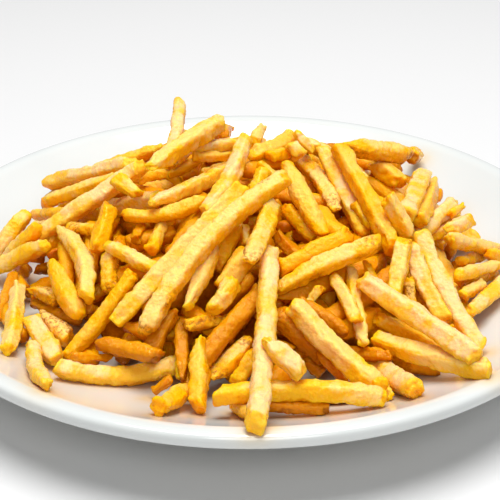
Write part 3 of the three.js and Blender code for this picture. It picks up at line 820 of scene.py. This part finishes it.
def fry_mesh(fry, number):
    """Points, squares and surface values of one fry, in the heap's place."""
    length = np.linalg.norm(np.diff(fry["path"], axis=0), axis=1).sum()
    half = fry["radius"] * SIDE
    own = np.random.default_rng(SEED + number)
    pitch = LOW_PITCH if fry["kind"] == LOW_KIND else PITCH
    spot, skin, squares = rounded_bar(length, half, pitch, own)

    # uneven thickness, a taper and a slanted cut at each end
    rest = spot + own.uniform(0, PLACES, 3)
    to_end = length / 2 - np.abs(spot[:, 0])
    level = np.zeros(len(rest))
    lengthwise = np.column_stack([rest[:, 0], level + rest[0, 1], level])
    thick = 1 + field(lengthwise, *THICKER[0]) + field(lengthwise, *THICKER[1])
    tall = 1 + field(lengthwise, *TALLER[0]) + field(lengthwise, *TALLER[1])
    for end in (-1, 1):
        lost = own.choice(THINNER, p=THINNER_ODDS)
        start = length / 2 - own.uniform(*THINNER_LENGTHS)
        near_end = smooth(spot[:, 0] * end, start, length / 2)
        thick *= 1 - lost * near_end
        tall *= 1 - LOWER * lost * near_end
        slant = spot[:, 1:] @ own.normal(0, SLANT, 2)
        spot[:, 0] += slant * smooth(spot[:, 0] * end, length / 2 - SLANT_LENGTH, length / 2)

    # blisters, chipped edges and ragged ends
    across = np.abs(spot[:, 1:]) / half
    on_edge = smooth(across.min(axis=1), *EDGE_BAND)
    flat = np.abs(skin[:, 1:]).max(axis=1) * (1 - np.clip(across.min(axis=1), 0, 1) ** 2)
    rough = wander(rest, ROUGH_SIZE) * 0.5 + 0.5
    chip = smooth(-wander(rest + CHIP_PLACE, CHIP_SIZE), *CHIPPED) * on_edge
    knob = blisters(rest, KNOB_SIZE)
    fine = blisters(rest + FINE_PLACE, FINE_SIZE)
    at_end = smooth(-to_end, *END_DEPTHS)
    relief = (
        field(rest, *WAVES)
        + field(rest, *RIPPLES)
        + (KNOB_LEAST + KNOB_MORE * rough) * (knob - BLISTER_FOOT)
        + (FINE_LEAST + FINE_MORE * rough) * (fine - BLISTER_FOOT)
        - FLAT_SINKS * flat
        - CHIP_DEPTH * chip
        + at_end * RAGGED * wander(rest + RAGGED_PLACE, RAGGED_SIZE)
    )
    spot = spot * np.column_stack([np.ones(len(spot)), thick, tall]) + skin * relief[:, None]
    points, upward = on_path(fry, length, spot, skin, own)

    # how it is fried, with painted light and shade in the same value
    # painted shade: darker the deeper a point lies under the mound's surface
    shade_below_crest = smooth(crest(points[:, 0], points[:, 1]) - points[:, 2], *PAINTED_SHADE_DEPTHS)
    browned_and_painted_light = (
        BROWN_START
        # painted light: paler upper faces, darker undersides
        - UPPER_PAINTED_LIGHT * upward
        # painted shade under the mound's surface
        + COVERED_PAINTED_SHADE * shade_below_crest
        # edges: browning on some, painted highlights on others
        + on_edge * field(rest, *EDGE_BROWN_AND_HIGHLIGHT)
        + ENDS_BROWNER * at_end
        # painted highlights on blister tops, painted shade between them
        - KNOB_TOPS_PAINTED_LIGHT * (knob - 0.5)
        + CHIPS_BROWNER * chip
        + field(rest, *PATCH_BROWN)
        + field(lengthwise, *BAND_BROWN)
    )
    peel = smooth(wander(rest + PEEL_PLACE, PEEL_SIZE) - to_end / PEEL_LENGTH, *PEELED)
    values = {
        "browned_and_painted_light": browned_and_painted_light + own.normal(0, BROWN_SPREAD),
        "tone": np.full(len(spot), own.uniform()),
        "skin": peel * (fry["kind"] == "s"),
    }
    return points, squares, values


class Pile:
    """Many small meshes joined into one object."""

    def __init__(self):
        self.points, self.squares, self.values = [], [], {}
        self.count = 0

    def add(self, points, squares, values):
        self.points.append(points)
        self.squares.append(squares + self.count)
        self.count += len(points)
        for name, value in values.items():
            self.values.setdefault(name, []).append(value)

    def build(self, name):
        points = np.vstack(self.points) * MM
        mesh = bpy.data.meshes.new(name)
        mesh.from_pydata(points.tolist(), [], np.vstack(self.squares).tolist())
        for value_name, parts in self.values.items():
            layer = mesh.attributes.new(value_name, "FLOAT", "POINT")
            layer.data.foreach_set("value", np.concatenate(parts).astype(np.float32))
        mesh.shade_smooth()
        piece = bpy.data.objects.new(name, mesh)
        bpy.context.scene.collection.objects.link(piece)
        return piece


# ---- materials ----
class Shade:
    """A socket of a material's nodes. Sums and products of sockets add their Math nodes."""

    def __init__(self, nodes, socket):
        self.nodes = nodes
        self.socket = socket

    def maths(self, operation, *values):
        return self.nodes.add("ShaderNodeMath", {"operation": operation}, dict(enumerate(values)))

    def __add__(self, other):
        return self.maths("ADD", self, other)

    __radd__ = __add__

    def __mul__(self, other):
        return self.maths("MULTIPLY", self, other)

    __rmul__ = __mul__

    def __sub__(self, other):
        return self.maths("SUBTRACT", self, other)

    def __rsub__(self, other):
        return self.maths("SUBTRACT", other, self)

    def step(self, low, high):
        """0 below low, 1 above high, and a soft step between them."""
        settings = {"interpolation_type": "SMOOTHSTEP"}
        values = {"Value": self, "From Min": low, "From Max": high}
        return self.nodes.add("ShaderNodeMapRange", settings, values, "Result")

    def mix(self, first, second):
        """From the first colour where this is 0 to the second where it is 1."""
        settings = {"data_type": "RGBA", "clamp_factor": True}
        return self.nodes.add("ShaderNodeMix", settings, {0: self, 6: first, 7: second}, 2)


class Finish:
    """A material whose one shader is a Principled BSDF."""

    def __init__(self, name):
        self.material = bpy.data.materials.new(name)
        self.material.use_nodes = True
        self.tree = self.material.node_tree
        self.shader = self.tree.nodes["Principled BSDF"]
        self.place = self.add("ShaderNodeTexCoord", {}, {}, "Object")

    def connect(self, socket, value):
        if isinstance(value, Shade):
            self.tree.links.new(value.socket, socket)
        elif socket.type == "RGBA":
            socket.default_value = (*value, 1)
        else:
            socket.default_value = value

    def add(self, kind, settings, values, output=0):
        """Any node: its type, its settings, what its sockets take and the socket it gives."""
        node = self.tree.nodes.new(kind)
        for name, value in settings.items():
            setattr(node, name, value)
        for name, value in values.items():
            self.connect(node.inputs[name], value)
        return Shade(self, node.outputs[output])

    def value(self, name):
        """One of the values that a mesh holds at its points."""
        settings = {"attribute_name": name, "attribute_type": "GEOMETRY"}
        return self.add("ShaderNodeAttribute", settings, {}, "Fac")

    def noise(self, size, detail, roughness):
        """Noise with lumps of about the given size in millimetres."""
        values = {"Vector": self.place, "Scale": 1 / (size * MM), "Detail": detail,
                  "Roughness": roughness}
        return self.add("ShaderNodeTexNoise", {"noise_dimensions": "3D"}, values, "Fac")

    def cells(self, size):
        """Distance to the middle of the nearest cell, with cells of about the given size."""
        values = {"Vector": self.place, "Scale": 1 / (size * MM)}
        return self.add("ShaderNodeTexVoronoi", {"feature": "F1"}, values, "Distance")

    def bump(self, height, depth, strength=1.0):
        values = {"Height": height, "Distance": depth * MM, "Strength": strength}
        return self.add("ShaderNodeBump", {}, values, "Normal")

    def finish(self, **sockets):
        for name, value in sockets.items():
            self.connect(self.shader.inputs[name.replace("_", " ")], value)
        return self.material


PEEL_COLOUR = (0.36, 0.12, 0.006)
PEEL_SHOWS = 0.7
PATCHY = 0.7  # how much a patch changes how browned it is
TONES = 0.3  # how much one fry differs from the next
PIT_SIZE = 1.2
PIT_DEPTH = 0.7  # against the grain's


def fried(name, crumb, gold, brown, lift, crisp):
    """Fried potato: crumb colour on its flats and where light is painted on, gold where it is
    browner and where shade is painted on, brown at its edges.
    """
    finish = Finish(name)
    grain = finish.noise(size=1.0, detail=3, roughness=0.7)
    patch = finish.noise(size=4.5, detail=2, roughness=0.55)
    browned_and_painted_light = finish.value("browned_and_painted_light") + (grain - 0.5) * crisp + (patch - 0.5) * PATCHY + lift
    browned_and_painted_light = browned_and_painted_light + (finish.value("tone") - 0.5) * TONES
    colour = browned_and_painted_light.step(low=-0.35, high=0.22).mix(crumb, gold)
    colour = browned_and_painted_light.step(low=0.5, high=1.1).mix(colour, brown)
    flecks = finish.noise(size=1.2, detail=3, roughness=0.6).step(low=0.45, high=0.6)
    colour = (finish.value("skin") * flecks * PEEL_SHOWS).mix(colour, PEEL_COLOUR)
    height = grain + finish.cells(PIT_SIZE) * PIT_DEPTH
    return finish.finish(
        Base_Color=colour,
        Roughness=0.23 + (patch - 0.5) * 0.3,
        Normal=finish.bump(height, depth=0.6, strength=0.6),
        Subsurface_Weight=0.8,
        Subsurface_Radius=(1.0, 0.6, 0.06),
        Subsurface_Scale=0.004,
        Specular_IOR_Level=0.38,
        Specular_Tint=(1.0, 0.8, 0.4),
    )


# Kinds of fry: the piece's name, the colours of its crumb, gold and brown, how much browner it
# is all over, and how strongly its grain shows.
KINDS = {
    "c": ("cream_fries", (0.97, 0.60, 0.26), (1.0, 0.51, 0.03), (0.95, 0.37, 0.003), 0.0, 0.4),
    "p": ("pale_fries", (0.98, 0.59, 0.17), (1.0, 0.50, 0.007), (0.90, 0.33, 0.001), 0.0, 0.5),
    "g": ("golden_fries", (0.97, 0.53, 0.08), (1.0, 0.44, 0.001), (0.80, 0.27, 0.0005), 0.05, 0.5),
    # d: darker, browner copies of the fried colours, painted shade for fries that lie in shade
    "d": ("painted_shade_fries", (0.74, 0.30, 0.003), (0.62, 0.22, 0.0005), (0.38, 0.11, 0.0002), 0.05, 0.5),
    "s": ("speckled_fries", (0.98, 0.59, 0.17), (0.97, 0.46, 0.005), (0.56, 0.2, 0.001), 0.03, 0.9),
    # l: darker, redder copies for fries that show only in the heap's gaps, painted shade
    "l": ("painted_shade_low_fries", (0.90, 0.42, 0.006), (0.84, 0.32, 0.0008), (0.52, 0.14, 0.0002), 0.05, 0.4),
}


def dress(piece, material, node):
    """Gives a piece its material and its place in the frame."""
    piece.data.materials.append(material)
    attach(piece, "root")
    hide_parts(node)


for kind, (name, *colours) in KINDS.items():
    pile = Pile()
    for number, fry in enumerate(fries):
        if fry["kind"] == kind:
            pile.add(*fry_mesh(fry, number))
    dress(pile.build(name), fried(name, *colours), "fries")


# ---- core, dark as painted shade ----
SAME_POINT = 0.001


def spun(profile, steps):
    """A closed shape of revolution about Z, from a profile that starts and ends on the axis."""
    shape = bmesh.new()
    verts = [shape.verts.new((radius, 0, height)) for radius, height in profile]
    edges = [shape.edges.new(pair) for pair in zip(verts, verts[1:])]
    bmesh.ops.spin(shape, geom=verts + edges, axis=(0, 0, 1), cent=(0, 0, 0), angle=2 * math.pi,
                   steps=steps, use_merge=True)
    bmesh.ops.remove_doubles(shape, verts=shape.verts, dist=SAME_POINT)
    bmesh.ops.recalc_face_normals(shape, faces=shape.faces)
    return shape


def object_of(shape, name):
    """A finished object in metres, from a shape in millimetres."""
    bmesh.ops.scale(shape, vec=(MM, MM, MM), verts=shape.verts)
    mesh = bpy.data.meshes.new(name)
    shape.to_mesh(mesh)
    shape.free()
    mesh.shade_smooth()
    piece = bpy.data.objects.new(name, mesh)
    bpy.context.scene.collection.objects.link(piece)
    return piece


HEART_RADIUS = 66
HEART_HEIGHT = 24
HEART_LUMP = 24  # size of the bays in its outline
HEART_BAYS = 0.14  # their depth against its radius
HEART_PLACE = 500  # in the random field
HEART_RINGS = 24
HEART_STEPS = 96
dome = [(0, FLOOR_HEIGHT + PLATE_GAP)]
for k in range(HEART_RINGS + 1):
    radius = HEART_RADIUS * math.cos(k / HEART_RINGS * math.pi / 2) if k < HEART_RINGS else 0
    dome.append((radius, float(mound_height(radius, HEART_RADIUS, HEART_HEIGHT))))
heart = spun(dome, HEART_STEPS)
plan = np.array([(vert.co.x, vert.co.y, 0) for vert in heart.verts])
for vert, lump in zip(heart.verts, wander(plan + HEART_PLACE, HEART_LUMP)):
    bay = 1 + HEART_BAYS * lump
    vert.co.x *= bay
    vert.co.y *= bay
    vert.co.z = max(vert.co.z, float(glaze_height(math.hypot(vert.co.x, vert.co.y))) + PLATE_GAP)
heart = object_of(heart, "heap_core")
# Painted shade: the core is a dark brown-orange mound that stands for the shaded depths between the
# fries, seen through their gaps.
inside = Finish("painted_shade_core")
crumb = inside.noise(size=6, detail=3, roughness=0.6)
dress(
    heart,
    inside.finish(
        Base_Color=crumb.step(low=0.3, high=0.7).mix((0.42, 0.09, 0.0006), (0.70, 0.19, 0.001)),
        Roughness=0.9,
        Specular_IOR_Level=0.0,
        Normal=inside.bump(crumb, depth=2.0),
    ),
    "fries",
)


# ---- plate ----
REFLECTION_REACH = 2.5  # how far the painted golden reflection of the fries spreads over the glaze
REFLECTION_SHOWS = 0.6
REFLECTION_COLOUR = (0.70, 0.48, 0.16)
WALL_RINGS = 30
LIP_STEPS = 8
PLATE_STEPS = 192


def plate_profile():
    """Radius and height along the plate's section, from the underside's middle to the floor's."""
    radii = np.linspace(FLOOR_RADIUS, PLATE_RADIUS - LIP_WIDTH, WALL_RINGS)
    wall = [(r, float(glaze_height(r))) for r in radii]
    under = [(r, z - WALL) for r, z in wall if r > FOOT_RADIUS + UNDER_START][:-1]
    foot_inner = FOOT_RADIUS - FOOT_WIDTH
    lip = []
    for k in range(LIP_STEPS + 1):
        angle = k / LIP_STEPS * math.pi / 2
        lip.append((PLATE_RADIUS - LIP_ROUND * (1 - math.cos(angle)),
                    RIM_HEIGHT - LIP_ROUND * (1 - math.sin(angle))))
    return [
        (0, FLOOR_HEIGHT - WALL),
        (foot_inner - FOOT_ROUND, FLOOR_HEIGHT - WALL),
        (foot_inner + FOOT_ROUND, 0),
        (FOOT_RADIUS - FOOT_ROUND, 0),
        (FOOT_RADIUS, FOOT_ROUND),
        (FOOT_RADIUS + FOOT_BLEND, float(glaze_height(FOOT_RADIUS)) - WALL),
        *under,
        (PLATE_RADIUS - LIP_WIDTH, RIM_HEIGHT - LIP_DEPTH - LIP_DROP),
        (PLATE_RADIUS - LIP_CORNER[0], RIM_HEIGHT - LIP_DEPTH),
        (PLATE_RADIUS, RIM_HEIGHT - LIP_DEPTH + LIP_CORNER[1]),
        *lip,
        *wall[::-1],
        (0, FLOOR_HEIGHT),
    ]


plate = object_of(spun(plate_profile(), PLATE_STEPS), "dinner_plate")
# Painted reflection: the glaze is tinted gold near the fries, as their reflection in it would look.
beads = np.concatenate([fry["beads"] for fry in fries])
painted_reflection = []
for vert in plate.data.vertices:
    spot = np.array(vert.co) / MM
    away = math.sqrt(((beads - spot) ** 2).sum(axis=1).min())
    painted_reflection.append(math.exp(-max(0, away - THICKEST_FRY / 2) / REFLECTION_REACH))
plate.data.attributes.new("painted_reflection", "FLOAT", "POINT").data.foreach_set("value", painted_reflection)
china = Finish("white_glaze")
ripple = china.noise(size=35, detail=1, roughness=0.4)
glaze = ripple.step(low=0.2, high=0.8).mix((0.63, 0.655, 0.645), (0.66, 0.685, 0.675))
dress(
    plate,
    china.finish(
        # painted golden reflection of the fries near them
        Base_Color=(china.value("painted_reflection") * REFLECTION_SHOWS).mix(glaze, REFLECTION_COLOUR),
        Roughness=0.1,
        Normal=china.bump(ripple, depth=0.4, strength=0.3),
        Coat_Weight=0.4,
    ),
    "plate",
)

# ---- stage ----
FLOOR_REACH = 6000
STUDIO_LIGHT = 0.2
LENS = 85
FILM_WIDTH = 36
NEAREST = 0.05

floor = bmesh.new()
bmesh.ops.create_grid(floor, x_segments=1, y_segments=1, size=FLOOR_REACH)
floor = object_of(floor, "floor")
table = Finish("pale_floor")
floor.data.materials.append(table.finish(Base_Color=(0.68, 0.68, 0.68), Roughness=0.6))


def lamp(name, place, aim, size, power):
    """A round, white soft light, with its place, aim and size in metres."""
    light = bpy.data.lights.new(name, "AREA")
    light.shape = "DISK"
    light.size = size
    light.energy = power
    holder = bpy.data.objects.new(name, light)
    holder.location = place
    holder.rotation_euler = (Vector(aim) - Vector(place)).to_track_quat("-Z", "Y").to_euler()
    bpy.context.scene.collection.objects.link(holder)


scene = bpy.context.scene
scene.view_settings.view_transform = "Standard"
lamp("softbox", place=(0.03, 0.05, 1.3), aim=(0, 0, 0.03), size=1.0, power=23.2)
lamp("fill", place=(0.1, -1.1, 0.8), aim=(0, -0.05, 0.03), size=0.8, power=5.2)
scene.world = bpy.data.worlds.new("studio")
scene.world.use_nodes = True
backdrop = scene.world.node_tree.nodes["Background"]
backdrop.inputs["Color"].default_value = (1, 1, 1, 1)
backdrop.inputs["Strength"].default_value = STUDIO_LIGHT

lens = bpy.data.cameras.new("camera")
lens.lens = LENS
lens.sensor_width = FILM_WIDTH
lens.clip_start = NEAREST
camera = bpy.data.objects.new("camera", lens)
camera.location = EYE * MM
camera.rotation_euler = (math.pi / 2 - SIGHT_ANGLE, 0, 0)
scene.collection.objects.link(camera)
scene.camera = camera
